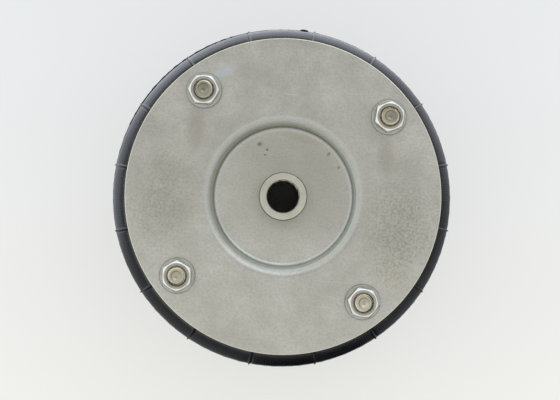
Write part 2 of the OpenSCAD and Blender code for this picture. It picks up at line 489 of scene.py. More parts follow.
@dataclass(frozen=True)
class PressedZincSheet(Finish):
    """Dull zinc electroplating on pressed mild steel sheet.

    The rinse leaves soft clouds of a slightly green grey and mottled areas, the rolled sheet a fine grain,
    and handling leaves water stains, specks and hair scratches. Around each washer a ring of painted contact
    shade with some dirt darkens the plating, and the steep shoulder round the dish is painted lighter, as
    painted light on its wall. Some marks paint shade into the dish and around the bung.
    """

    first_bolt: float
    washer_r: float
    wall_r: float
    roughness: tuple[float, float]
    marks: tuple[Mark, ...] = ()
    mottles: tuple[Mark, ...] = ()
    light: str = "#B6B6B0"
    dark: str = "#A6A6A0"
    grain: str = "#8F8F8A"
    # Painted contact shade, with some dirt, in a ring around each washer
    washer_shade_and_dirt: str = "#66675F"
    scratch: str = "#C4C5BD"
    # Painted light: the steep wall round the dish is lightened towards this colour
    drawn: str = "#D4D3C4"
    cloud_mm: float = 22.0
    mottle_mm: float = 1.3
    grain_mm: float = 1.1
    scratch_mm: tuple[float, float] = (26.0, 0.5)
    scratch_angles: tuple[float, float] = (22.0, 118.0)
    scratch_share: float = 0.4
    washer_ring_mm: tuple[float, float] = (0.9, -0.1)
    washer_ring_share: float = 0.8
    wall_light_mm: tuple[float, float] = (-0.2, 0.7)
    wall_light_slope: tuple[float, float] = (0.85, 0.6)

    def paint(self, graph: Graph) -> Inputs:
        """Lay clouds, grain, scratches, stains, rub marks and the burnished bend, in that order.

        Args:
            graph: Nodes of the material.

        Returns:
            What feeds the shader, by the name of its socket.
        """
        where = graph.add("TexCoord").outputs
        place = where["Object"]
        cloud = graph.noise(place, self.cloud_mm, 5.0, 0.62)
        grain = graph.noise(place, self.grain_mm, 3.0, 0.7)
        mottle = graph.remap(graph.noise(place, self.mottle_mm, 4.0, 0.7), 0.36, 0.9)
        cloudy = graph.remap(cloud, 0.34, 0.66)
        scratches = self.scratches(graph, place)
        colour = graph.mix(cloudy, self.dark, self.light)
        colour = graph.mix(graph.remap(grain, 0.42, 0.75, 0.0, 0.6), colour, self.grain)
        colour = graph.mix(scratches, colour, self.scratch)
        for marks, uneven in ((self.marks, cloud), (self.mottles, mottle)):
            for mark in marks:
                colour = mark.lay(graph, place, uneven, colour)
        # A ring of painted contact shade, with some dirt, around each washer
        washer_ring = graph.math("MULTIPLY", self.near_washers(graph, place), cloudy)
        colour = graph.mix(washer_ring, colour, self.washer_shade_and_dirt)
        # The steep shoulder round the dish is painted lighter, as painted light on its wall
        colour = graph.mix(self.painted_wall_light(graph, where), colour, self.drawn)
        height = graph.math("SUBTRACT", grain, scratches)
        return {"Base Color": colour, "Metallic": 1.0, "Normal": graph.bump(height, 0.25, 0.05),
                "Roughness": graph.remap(cloud, *NOISE_SPAN, *self.roughness)}

    def scratches(self, graph: Graph, place: Socket) -> Socket:
        """Draw hair scratches that run two ways, about half a millimetre wide so that they show.

        Args:
            graph: Nodes of the material.
            place: Place on the plate.

        Returns:
            Share of the scratches.
        """
        length, width = (per_metre(size) for size in self.scratch_mm)
        shares = []
        for angle in self.scratch_angles:
            along = graph.add("Mapping", {"Vector": place, "Rotation": (0, 0, math.radians(angle)),
                                          "Scale": (length, width, 0)}).outputs[0]
            lines = graph.add("TexNoise", {"Vector": along, "Scale": 1.0, "Detail": 1.0, "Distortion": 0.15})
            shares.append(graph.remap(lines.outputs[0], 0.69, 0.78, 0.0, self.scratch_share))
        return graph.math("MAXIMUM", *shares)

    def near_washers(self, graph: Graph, place: Socket) -> Socket:
        """Find the rings around the washers that take painted contact shade and some dirt.

        Args:
            graph: Nodes of the material.
            place: Place on the plate.

        Returns:
            Share of the painted shade and dirt.
        """
        # The bolts lie alike in each quarter, so one quarter folded over serves all four washers
        quarter = graph.add("Mapping", {
            "Vector": place, "Rotation": (0, 0, math.radians(45 - self.first_bolt))}).outputs[0]
        side = BOLT_CIRCLE_R * math.sqrt(0.5) * MM
        quarter = graph.vector("SUBTRACT", graph.vector("ABSOLUTE", quarter), (side, side, 0))
        far, near = ((self.washer_r + past) * MM for past in self.washer_ring_mm)
        return graph.remap(graph.off_axis(quarter), far, near, 0.0, self.washer_ring_share, soft=True)

    def painted_wall_light(self, graph: Graph, where: bpy.types.NodeOutputs) -> Socket:
        """Find the steep part of the shoulder around the dish, which is painted lighter as painted light.

        Args:
            graph: Nodes of the material.
            where: Coordinates on the plate.

        Returns:
            Share of the painted light.
        """
        slope = graph.math("ABSOLUTE", graph.add("SeparateXYZ", {0: where["Normal"]}).outputs[2])
        start, stop = ((self.wall_r + past) * MM for past in self.wall_light_mm)
        shoulder = graph.remap(graph.off_axis(where["Object"]), start, stop)
        return graph.math("MULTIPLY", graph.remap(slope, *self.wall_light_slope), shoulder)


@dataclass(frozen=True)
class TurnedZincSteel(Finish):
    """Turned steel under thin zinc plating, which keeps the lathe's fine rings and glints along them."""

    light: str
    dark: str
    roughness: tuple[float, float]
    ring_mm: float = 0.55
    cloud_mm: float = 9.0

    def paint(self, graph: Graph) -> Inputs:
        """Lay clouds of plating over the lathe's rings.

        Args:
            graph: Nodes of the material.

        Returns:
            What feeds the shader, by the name of its socket.
        """
        place = graph.add("TexCoord").outputs["Object"]
        cloud = graph.noise(place, self.cloud_mm, 5.0, 0.6)
        # A ring wave repeats every twentieth of a turn of its scaled distance
        rings = graph.add("TexWave", {
            "Vector": place, "Scale": TURN / 20 * per_metre(self.ring_mm), "Distortion": 1.2, "Detail": 2.0,
            "Detail Scale": 0.4}, wave_type="RINGS", rings_direction="Z").outputs[1]
        tone = graph.math("MULTIPLY_ADD", cloud, rings, 0.35)
        colour = graph.mix(graph.remap(cloud, *NOISE_SPAN), self.dark, self.light)
        return {"Base Color": colour, "Metallic": 1.0, "Normal": graph.bump(rings, 0.22, 0.04),
                "Roughness": graph.remap(tone, *NOISE_SPAN, *self.roughness)}


@dataclass(frozen=True)
class BarrelZincSteel(Finish):
    """Cold-formed steel, zinc plated in a tumbling barrel: bright, with small knocks and a warm tint."""

    light: str
    dark: str
    tint: str
    tint_share: float
    roughness: tuple[float, float]
    marks: tuple[Mark, ...] = ()
    knock_mm: float = 0.9
    cloud_mm: float = 5.0

    def paint(self, graph: Graph) -> Inputs:
        """Lay clouds, the tint and the marks over small knocks.

        Args:
            graph: Nodes of the material.

        Returns:
            What feeds the shader, by the name of its socket.
        """
        place = graph.add("TexCoord").outputs["Object"]
        cloud = graph.noise(place, self.cloud_mm, 4.0, 0.6)
        knocks = graph.add("TexVoronoi", {
            "Vector": place, "Scale": per_metre(self.knock_mm), "Randomness": 1.0},
            feature="SMOOTH_F1").outputs["Distance"]
        tinted = graph.remap(graph.noise(place, 3 * self.cloud_mm, 2.0), 0.3, 0.65, 0.0, self.tint_share)
        colour = graph.mix(graph.remap(cloud, 0.33, 0.67), self.dark, self.light)
        colour = graph.mix(tinted, colour, self.tint)
        for mark in self.marks:
            colour = mark.lay(graph, place, cloud, colour)
        return {"Base Color": colour, "Metallic": 1.0, "Normal": graph.bump(knocks, 0.18, 0.05),
                "Roughness": graph.remap(cloud, *NOISE_SPAN, *self.roughness)}


@dataclass(frozen=True)
class DrawnSteelRod(Finish):
    """Cold drawn steel rod: the die leaves fine lines along the rod, and the grey skin dulls in patches."""

    light: str
    dark: str
    roughness: tuple[float, float]
    line_mm: float = 0.6
    patch_mm: float = 12.0

    def paint(self, graph: Graph) -> Inputs:
        """Lay patches over lines that run round the ring.

        Args:
            graph: Nodes of the material.

        Returns:
            What feeds the shader, by the name of its socket.
        """
        place = graph.add("TexCoord").outputs["Object"]
        height = graph.add("SeparateXYZ", {0: place}).outputs[2]
        section = graph.add("CombineXYZ", {0: graph.off_axis(place), 1: height}).outputs[0]
        lines = graph.noise(section, self.line_mm, 3.0, 0.65)
        patch = graph.remap(graph.noise(place, self.patch_mm, 5.0), 0.35, 0.65)
        colour = graph.mix(patch, self.dark, self.light)
        return {"Base Color": colour, "Metallic": 1.0, "Normal": graph.bump(lines, 0.3, 0.05),
                "Roughness": graph.remap(lines, *NOISE_SPAN, *self.roughness)}


@dataclass(frozen=True)
class MouldedBlackRubber(Finish):
    """Carbon-filled natural rubber, vulcanised in a polished mould over fabric cords.

    It is nearly black and half matt, the cords telegraph through as fine meridian lines, and a thin wax bloom
    greys it in patches. The wax also lies on it as a film, which shows near the outline.
    """

    black: str = "#0B0B0D"
    bloom: str = "#131417"
    roughness: tuple[float, float] = (0.22, 0.34)
    specular: float = 1.0
    wax: float = 0.6
    wax_roughness: float = 0.25
    ior: float = 1.62
    cord_count: int = 420
    bloom_mm: float = 14.0
    pore_mm: float = 0.8

    def paint(self, graph: Graph) -> Inputs:
        """Lay the bloom over cords and pores, under a film of wax.

        Args:
            graph: Nodes of the material.

        Returns:
            What feeds the shader, by the name of its socket.
        """
        place = graph.add("TexCoord").outputs["Object"]
        parts = graph.add("SeparateXYZ", {0: place}).outputs
        angle = graph.math("ARCTAN2", parts[1], parts[0])
        patch = graph.noise(place, self.bloom_mm, 6.0, 0.65)
        pores = graph.noise(place, self.pore_mm, 2.0)
        cords = graph.math("SINE", graph.math("MULTIPLY_ADD", angle, float(self.cord_count), patch))
        skin = graph.math("MULTIPLY_ADD", cords, 0.8, pores)
        bloom = graph.remap(patch, 0.45, 0.75, 0.0, 0.7)
        return {"Base Color": graph.mix(bloom, self.black, self.bloom),
                "Roughness": graph.remap(patch, 0.35, 0.7, *self.roughness),
                "Normal": graph.bump(skin, 0.6, 0.08), "IOR": self.ior, "Specular IOR Level": self.specular,
                "Coat Weight": self.wax, "Coat Roughness": self.wax_roughness}


def sloping(face: bpy.types.MeshPolygon) -> bool:
    """Tell whether a face lies on a chamfer or a rounded edge of a piece that stands upright."""
    upright, level = 0.2, 0.97
    return upright < abs(face.normal.z) < level


def dress(piece: bpy.types.Object, material: bpy.types.Material, edge: bpy.types.Material | None = None,
          takes_edge_finish: Callable[[bpy.types.MeshPolygon], bool] = sloping) -> None:
    """Give a piece its material, and its edges or its torn flash a second one.

    Args:
        piece: Piece to dress.
        material: Finish of the piece.
        edge: Finish of those edges, if it has any.
        takes_edge_finish: Test whether a face takes the second finish.
    """
    piece.data.materials.clear()
    piece.data.materials.append(material)
    if edge is not None:
        piece.data.materials.append(edge)
        for face in piece.data.polygons:
            face.material_index = int(takes_edge_finish(face))


def stand_for(piece: bpy.types.Object, node: str, body: str) -> None:
    """Let a piece replace a node and ride on its body.

    Args:
        piece: New piece, in place.
        node: Node that it replaces.
        body: Body that carries it.
    """
    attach(piece, body)
    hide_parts(node)
    LOG.info("%s: %d faces, rides on %s", piece.name, len(piece.data.polygons), body)


@dataclass
class EndPlates:
    """The two pressed end plates, which share one tool: only the top one has a port hole."""

    rim_r: float = 90.0
    thickness: float = 4.0
    rim_round: float = 0.3
    die_roll: tuple[float, float] = (0.7, 0.28)
    dish_r: float = 46.5
    dish_depth: float = 6.0
    shoulder_r: float = 7.0
    corner_r: float = 3.0
    face_z: float = 75.1
    port_hole_r: float = 13.8
    waviness: float = 0.05
    wave_seed: int = 11
    flat_rim: float = 6.0
    wave_rise: float = 8.0
    columns: int = 288

    @property
    def bend(self) -> float:
        """Angle in degrees through which the sheet bends into the dish and out again."""
        return math.degrees(math.acos(1 - self.dish_depth / (self.shoulder_r + self.corner_r)))

    @property
    def wall_r(self) -> float:
        """Radius where the corner of the dish meets its shoulder."""
        return self.dish_r - self.shoulder_r * math.sin(math.radians(self.bend))

    def outline(self, hole_r: float) -> np.ndarray:
        """Draw the half section of a plate, anticlockwise from the underside at the hole.

        Args:
            hole_r: Radius of the hole in the middle, or 0.

        Returns:
            Points as radius and height above the outer face.
        """
        bend = self.bend
        corner = (self.wall_r - self.corner_r * math.sin(math.radians(bend)), self.corner_r - self.dish_depth)
        shoulder = (self.dish_r, -self.shoulder_r)
        # The blanking die rolls the outer edge over, wider than it is deep
        width, depth = self.die_roll
        rim = arc((self.rim_r - self.rim_round, self.rim_round - self.thickness), self.rim_round, -90, 0, 4)
        rim += [(self.rim_r - width * (1 - r), -depth * (1 - z)) for r, z in arc((0, 0), 1, 0, 90, 8)]
        points = [(hole_r, -self.dish_depth - self.thickness)]
        points += arc(corner, self.corner_r + self.thickness, -90, bend - 90, 12)
        points += arc(shoulder, self.shoulder_r - self.thickness, 90 + bend, 90, 12)
        points += rim
        points += arc(shoulder, self.shoulder_r, 90, 90 + bend, 18)
        points += arc(corner, self.corner_r, bend - 90, -90, 14)
        points.append((hole_r, -self.dish_depth))
        return refine(points, 3.0, closed=False)

    def build(self, end: End, finish: PressedZincSheet, edge: bpy.types.Material) -> None:
        """Build and dress one plate.

        Args:
            end: End that it closes.
            finish: Its finish.
            edge: Finish of its rim, lighter for wear and as a painted highlight.
        """
        angles = even_angles(self.columns)
        hole_r = self.port_hole_r if end is End.TOP else 0.0
        radii, heights = self.outline(hole_r).T
        grid = revolve(radii, heights + self.face_z, angles)
        # Pressing leaves the sheet a little wavy, and flat again where the ring and the rim hold it
        share = np.clip((self.rim_r - self.flat_rim - radii) / self.wave_rise, 0, 1)
        share *= np.clip((radii - self.dish_r) / self.wave_rise, 0, 1)
        grid[:, :, 2] -= share * np.abs(ripple(angles, range(2, 9), self.waviness, self.wave_seed))[:, None]
        plate = make_piece(f"{end.value}_pressed_plate", [grid], end.place, closed=end is End.TOP)
        drill(plate, end, self.face_z)
        # The slopes of the rim take a lighter finish, for wear and as a painted highlight
        dress(plate, finish.build(), edge,
              lambda face: sloping(face) and face.center.to_2d().length > (self.rim_r - 1) * MM)
        stand_for(plate, f"{end.value}_plate", end.value)


@dataclass
class FlangeRings:
    """The loose rings that hook over the rubber beads."""

    outer_r: float = 89.0
    seat_r: float = 67.2
    bore_r: float = 62.2
    thickness: float = 12.0
    hook_h: float = 5.0
    nose_r: float = 2.5
    edge_round: float = 0.9
    seat_round: float = 0.3
    foot_z: float = 59.1
    columns: int = 256

    def build(self, end: End, material: bpy.types.Material) -> None:
        """Build and dress one ring.

        Args:
            end: End that it clamps.
            material: Its finish.
        """
        section = rounded([
            (self.bore_r, 0, self.nose_r), (self.outer_r, 0, self.edge_round),
            (self.outer_r, self.thickness, self.edge_round), (self.seat_r, self.thickness, self.seat_round),
            (self.seat_r, self.hook_h, self.seat_round), (self.bore_r, self.hook_h, self.seat_round)], 6)
        radii, heights = refine(section, 4.0).T
        grid = revolve(radii, heights + self.foot_z, even_angles(self.columns))
        ring = make_piece(f"{end.value}_clamp_ring", [grid], end.place)
        drill(ring, end, self.foot_z)
        dress(ring, material)
        stand_for(ring, f"{end.value}_flange_ring", end.value)


@dataclass
class Fasteners:
    """The bolts, washers and nuts around each plate."""

    thread_r: float = 5.0
    shank_r: float = 4.515
    hexagon: Hexagon = Hexagon(16.0, 0.35)
    face_r: float = 7.42
    soft: float = 0.12
    head_h: float = 6.4
    nut_h: float = 8.4
    washer_r: float = 10.0
    washer_hole_r: float = 5.25
    washer_t: float = 2.0
    ring_z: float = 59.1
    face_z: float = 75.1
    tip_h: float = 3.6
    tip_bevel: float = 0.8
    mouth_bevel: float = 1.1
    cup_r: float = 3.2
    bore_r: float = 4.565
    thread_rows: int = 45
    run_out: float = 0.6
    nut_turns: dict[End, tuple[float, ...]] = field(default_factory=lambda: {
        End.TOP: (43, 50, 52, 42), End.BASE: (12, 48, 21, 39)})

    @property
    def nut_z(self) -> float:
        """Height of the underside of the nuts."""
        return self.face_z + self.washer_t

    @property
    def tip_z(self) -> float:
        """Height of the tops of the nuts."""
        return self.nut_z + self.nut_h

    def chamfer(self, side: np.ndarray, face_z: float, way: int) -> list:
        """Draw the chamfer of a hexagon.

        Args:
            side: Radius of the hexagon's side by angle.
            face_z: Height of its flat face.
            way: 1 if the side lies above the face, and -1 if it lies below.

        Returns:
            Rows from the face out to the side.
        """
        slope = math.tan(TURN / 12)
        drop = (side - self.face_r) * slope
        return [(self.face_r - self.soft, face_z),
                (self.face_r + self.soft, face_z + way * self.soft * slope),
                (side - self.soft, face_z + way * (drop - self.soft * slope)),
                (side, face_z + way * (drop + self.soft))]

    def nut(self) -> np.ndarray:
        """Draw one nut about its own axis, anticlockwise from its lower mouth.

        Returns:
            Points by column and row.
        """
        angles = self.hexagon.columns()
        side = self.hexagon.radius(angles)
        low, high, mouth = self.nut_z, self.tip_z, self.bore_r + self.mouth_bevel
        lower, upper = self.chamfer(side, low, 1), self.chamfer(side, high, -1)
        # Rows between the chamfers keep the flats flat where they are shaded smooth
        stretch = 2.0 - self.soft
        pairs = [(mouth, low), *lower, (side, lower[-1][1] + stretch), (side, upper[-1][1] - stretch)]
        pairs += upper[::-1]
        pairs += [(mouth + self.soft, high), (mouth - self.soft, high - self.soft)]
        pairs += [(self.bore_r, high - self.mouth_bevel), (self.bore_r, low + self.mouth_bevel)]
        return stack_rows(pairs, angles)

    def washer(self) -> np.ndarray:
        """Draw one washer: the die rounds its upper rim and leaves a sharp edge below.

        Returns:
            Points by column and row.
        """
        low, high = self.face_z, self.face_z + self.washer_t
        section = rounded([(self.washer_hole_r, low, 0.1), (self.washer_r, low, 0.1),
                           (self.washer_r, high, 0.45), (self.washer_hole_r, high, 0.3)])
        return revolve(*refine(section, 2.5).T, even_angles(72))

    def bolt(self) -> np.ndarray:
        """Draw one bolt, from the middle of its head to the middle of its cup.

        Returns:
            Points by column and row.
        """
        angles = self.hexagon.columns()
        side = self.hexagon.radius(angles)
        foot, end = self.ring_z - self.head_h, self.tip_z + self.tip_h
        pairs = [(0, foot), *self.chamfer(side, foot, 1), (side, self.ring_z - self.soft)]
        pairs += [(side - self.soft, self.ring_z), (self.shank_r, self.ring_z)]
        # The thread is cut only where it shows, from just inside the nut's mouth
        start = self.tip_z - self.mouth_bevel + 0.4
        pairs += [(self.shank_r, start - 1.0), (self.shank_r - 0.02, start - 0.1)]
        for z in np.linspace(start, end, self.thread_rows):
            grooved = self.thread_r - Thread.METRIC_10.groove(angles, np.full_like(angles, z))
            bevel = self.thread_r - max(0.0, z - end + self.tip_bevel)
            fade = np.clip((z - start) / self.run_out, 0, 1)
            pairs.append((np.minimum(self.shank_r + (grooved - self.shank_r) * fade, bevel), z))
        ball = self.cup_r * math.sqrt(2)
        pairs += [(self.cup_r + 0.15, end)]
        pairs += [(ball * math.sin(a), end + self.cup_r - ball * math.cos(a))
                  for a in np.linspace(math.pi / 4, 0, 9)]
        return stack_rows(pairs, angles)

    def on_bevel(self, face: bpy.types.MeshPolygon, end: End) -> bool:
        """Tell whether a face of a bolt lies on the bevel of its tip.

        Args:
            face: Face of the bolts of one end.
            end: End that they belong to.

        Returns:
            True on the bevel, but not in the cup.
        """
        quarter, first = TURN / 4, math.radians(end.first_bolt)
        place = face.center.to_2d()
        angle = first + round((math.atan2(place.y, place.x) - first) / quarter) * quarter
        axis = Vector((math.cos(angle), math.sin(angle))) * BOLT_CIRCLE_R * MM
        high = abs(face.center.z - MID_Z * MM) > (self.tip_z + self.tip_h - self.tip_bevel) * MM
        return high and (place - axis).length > (self.thread_r - self.tip_bevel - 0.1) * MM

    def build(self, end: End, materials: dict[str, bpy.types.Material]) -> None:
        """Build and dress the fasteners of one end.

        Args:
            end: End that takes them.
            materials: Finishes of the bolts, washers and nuts, and of the edges of bolts and nuts, which are
            lighter for wear and as painted highlights.
        """
        turns = self.nut_turns[end]
        unturned = (0,) * len(turns)
        kinds = (("bolts", self.bolt(), unturned, False, "bolt_steel"),
                 ("washers", self.washer(), unturned, True, "washer_steel"),
                 ("nuts", self.nut(), turns, True, "nut_steel"))
        for kind, grid, spins, closed, slot in kinds:
            piece = make_piece(f"{end.value}_{kind}_set", around(grid, end, spins), end.place, closed)
            takes_edge_finish = partial(self.on_bevel, end=end) if kind == "bolts" else sloping
            dress(piece, materials[kind], materials.get(f"{kind}_edges"), takes_edge_finish)
            stand_for(piece, f"{end.value}_{kind}", end.value)


@dataclass
class AirPort:
    """The threaded bung in the middle of the top plate."""

    bore_r: float = 9.315
    bung_r: float = 13.5
    collar_r: float = 17.0
    collar_t: float = 3.0
    tail: float = 9.0
    proud: float = 2.0
    mouth_bevel: float = 0.4
    floor_z: float = 69.1
    plate_t: float = 4.0
    thread_step: float = 0.13
    run_out: float = 0.7
    columns: int = 108

    def build(self, material: bpy.types.Material) -> None:
        """Build and dress the bung.

        Args:
            material: Its finish.
        """
        angles = even_angles(self.columns)
        lower, upper = self.floor_z - self.plate_t, self.floor_z + self.proud
        shelf, mouth = lower - self.collar_t, self.bore_r + self.mouth_bevel
        foot = shelf - self.tail
        outside = rounded([(mouth, foot, 0), (self.bung_r, foot, 0.4), (self.bung_r, shelf, 0),
                           (self.collar_r, shelf, 0.4), (self.collar_r, lower, 0.2), (self.bung_r, lower, 0),
                           (self.bung_r, upper, 0.45), (mouth, upper, 0)])
        grid = revolve(*refine(outside, 3.0, closed=False).T, angles)
        heights = np.arange(upper - self.mouth_bevel, foot + self.mouth_bevel, -self.thread_step)
        # The thread runs out at both mouths
        fade = np.clip(np.minimum(heights[0] - heights, heights - heights[-1]) / self.run_out, 0, 1)
        bore = self.bore_r + fade * Thread.PIPE_HALF_INCH.groove(angles[:, None], heights[None, :])
        threaded = revolve(bore, heights, angles)
        bung = make_piece("threaded_bung", [np.concatenate([grid, threaded], axis=1)], End.TOP.place)
        dress(bung, material)
        stand_for(bung, "air_port", End.TOP.value)


@dataclass
class GirdleHoop:
    """The hoop in the waist, bent from rod and butt welded."""

    centre_r: float = 68.0
    rod_r: float = 5.0
    play: float = 0.02
    weld_angle: float = 205.0
    weld_width: float = 5.0
    weld_h: float = 0.3
    columns: int = 240
    rows: int = 32

    def build(self, material: bpy.types.Material) -> None:
        """Build and dress the hoop.

        Args:
            material: Its finish.
        """
        angles, around_rod = even_angles(self.columns), even_angles(self.rows)[None, :]
        off = away_from(angles, math.radians(self.weld_angle))
        bead = np.exp(-(off * self.centre_r / self.weld_width * 2) ** 2)
        # The weld is ground flush where the rubber bears on it, and stands proud outside
        outward = np.clip(np.cos(around_rod), 0, 1)
        rod = self.rod_r + self.weld_h * bead[:, None] * outward - self.play
        grid = revolve(self.centre_r + rod * np.cos(around_rod), rod * np.sin(around_rod), angles)
        hoop = make_piece("girdle_rod", [grid], End.TOP.place)
        dress(hoop, material)
        stand_for(hoop, "girdle_hoop", "girdle")


@dataclass
class Bellows:
    """The rubber bellows in two halves, one for each convolution, that meet in the waist.

    The torn stretch and the gate are given by their angle in degrees and their half width in radians, and the
    groove beside each rib by its place and half width in half widths of the rib.
    """

    neck_r: float = 62.0
    wall: float = 4.5
    hoop_r: float = 68.0
    groove_r: float = 5.2
    crest_r: float = 100.4
    roll_r: float = 22.0
    fillet_r: float = 5.0
    bead_r: float = 67.0
    bead_z: float = 64.1
    bead_t: float = 7.0
    lip_r: float = 51.5
    flash_h: float = 0.6
    flash_t: float = 0.8
    tear: tuple[float, float] = (139.0, 0.5)
    tear_h: float = 0.5
    tear_seed: int = 23
    gate: tuple[float, float] = (90.5, 0.022)
    stub_h: float = 0.7
    rib_count: int = 16
    rib_first: float = 19.45
    rib_w: float = 1.3
    rib_h: float = 0.6
    rib_start_r: float = 76.0
    rib_rise: float = 5.0
    vent: tuple[float, float] = (1.8, 0.8)
    vent_h: float = 0.45
    dip: float = 0.12
    dip_seed: int = 5
    clear: float = 0.3
    sharp: float = 50.0
    still: tuple[float, float] = (7.0, 52.0)

    @property
    def pitch(self) -> float:
        """Angle from rib to rib, in radians."""
        return TURN / self.rib_count

    @property
    def half_rib(self) -> float:
        """Half the angle that a rib takes up at the crest, in radians."""
        return self.rib_w / 2 / self.crest_r

    def columns(self) -> np.ndarray:
        """Space the columns, close together at each rib.

        Returns:
            Their angles in radians.
        """
        half, (groove, reach) = self.half_rib, self.vent
        sector = np.concatenate([half * np.array([-1, -0.5, 0, 0.5, 1, groove]),
                                 np.linspace(half * (groove + reach), self.pitch - half, 40)[:-1]])
        first = math.radians(self.rib_first)
        return np.concatenate([first + sector + k * self.pitch for k in range(self.rib_count)])

    def outline(self) -> tuple[np.ndarray, int]:
        """Draw the half section of one half above the middle, anticlockwise from the waist.

        Returns:
            The points, and how many of them lie on the outside up to the bead.
        """
        roll = (self.crest_r - self.roll_r, self.groove_r + self.roll_r)
        flank = roll[1] + self.roll_r
        fillet = (self.neck_r + self.fillet_r, flank + self.fillet_r)
        edge = math.degrees(self.flash_t / 2 / self.roll_r)
        outside = arc((self.hoop_r, 0), self.groove_r, 180, 90, 8)
        outside += arc(roll, self.roll_r, -90, -3, 26) + arc(roll, self.roll_r, -2 * edge, 2 * edge, 8)
        outside += arc(roll, self.roll_r, 3, 90, 26) + arc(fillet, self.fillet_r, 270, 180, 8)
        outside = refine(outside, 2.5, closed=False)
        low, high = self.bead_z, self.bead_z + self.bead_t
        bead = rounded([(self.neck_r, low, 0), (self.bead_r, low, 0.8), (self.bead_r, high, 0.8),
                        (self.lip_r, high, 0.6), (self.lip_r, low, 1.2),
                        (self.neck_r - self.wall, low, 0)], 3)
        inside = arc(fillet, self.fillet_r + self.wall, 180, 270, 6)
        inside += arc(roll, self.roll_r - self.wall, 90, -90, 26)
        inside += arc((self.hoop_r, 0), self.groove_r + self.wall, 90, 180, 6)
        rest = refine(bead + inside, 3.0, closed=False)
        return np.concatenate([outside, rest]), len(outside)

    def flash(self, angles: np.ndarray) -> np.ndarray:
        """Find the height of the trimmed moulding flash, with a torn stretch left standing on one side.

        Args:
            angles: Angles of the columns, in radians.

        Returns:
            The height at each column.
        """
        ragged = np.clip(ripple(angles, range(40, 160), 1.0, self.tear_seed), 0, 1) ** 0.5
        left, gate = (np.exp(-(away_from(angles, math.radians(middle)) / width) ** 4)
                      for middle, width in (self.tear, self.gate))
        # The trimming knife leaves a little over half of the flash, and more where it is ragged
        trimmed = self.flash_h * np.clip(0.55 + 0.3 * ragged + gate, 0, 1)
        return trimmed + self.tear_h * left * (0.8 + 0.2 * ragged) + self.stub_h * gate

    def half(self) -> np.ndarray:
        """Draw the upper half with its ribs and flash.

        Returns:
            Points by column and row.
        """
        outline, outside = self.outline()
        angles = self.columns()
        tangent = np.roll(outline, -1, axis=0) - np.roll(outline, 1, axis=0)
        tangent /= np.linalg.norm(tangent, axis=1)[:, None]
        off = away_from(angles, math.radians(self.rib_first), self.pitch) / self.half_rib
        fin = np.clip(1 - np.abs(off), 0, 1) ** 0.7
        # A fine groove runs along one side of each rib, where two segments of the mould meet
        groove, reach = self.vent
        rib = self.rib_h * fin - self.vent_h * np.clip(1 - np.abs(off - groove) / reach, 0, 1)
        # The skin dips a little between the cords, and never stands above the mould
        skin = rib - np.abs(ripple(angles, range(3, 40), self.dip, self.dip_seed))
        r, z = outline[:outside, 0], outline[:outside, 1]
        lift = np.zeros((len(angles), len(outline)))
        lift[:, :outside] = skin[:, None] * np.clip((r - self.rib_start_r) / self.rib_rise, 0, 1)[None, :]
        crest = self.groove_r + self.roll_r
        ridge = np.flatnonzero((np.abs(z - crest) < self.flash_t / 2 * 0.8) & (r > self.crest_r - 1))
        # Each rib ends at the flash in a small torn stub
        trim = np.maximum(self.flash(angles), (self.rib_h + self.stub_h) * fin)
        lift[:, ridge] = np.maximum(lift[:, ridge], trim[:, None])
        return revolve(outline[:, 0] + lift * tangent[:, 1], outline[:, 1] - lift * tangent[:, 0], angles)

    def torn(self, face: bpy.types.MeshPolygon) -> bool:
        """Tell whether a face lies on flash that stands clear of the crest."""
        return face.center.to_2d().length > (self.crest_r + self.clear) * MM

    def build(self, material: bpy.types.Material, edge: bpy.types.Material) -> None:
        """Build and dress both halves.

        Args:
            material: The moulded rubber.
            edge: The rubber where it was torn.
        """
        grid = self.half()
        halves = (("bellows_upper", End.TOP, ("girdle", "top"), self.still),
                  ("bellows_lower", End.BASE, ("girdle", "base"), (-self.still[0], -self.still[1])))
        for name, end, bodies, (start, stop) in halves:
            piece = make_piece(name, [grid], end.place, sharp=self.sharp)
            dress(piece, material, edge, self.torn)
            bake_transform(piece)
            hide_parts("bellows")
            LOG.info("%s: %d faces, bends between %s and %s", name, len(piece.data.polygons), *bodies)


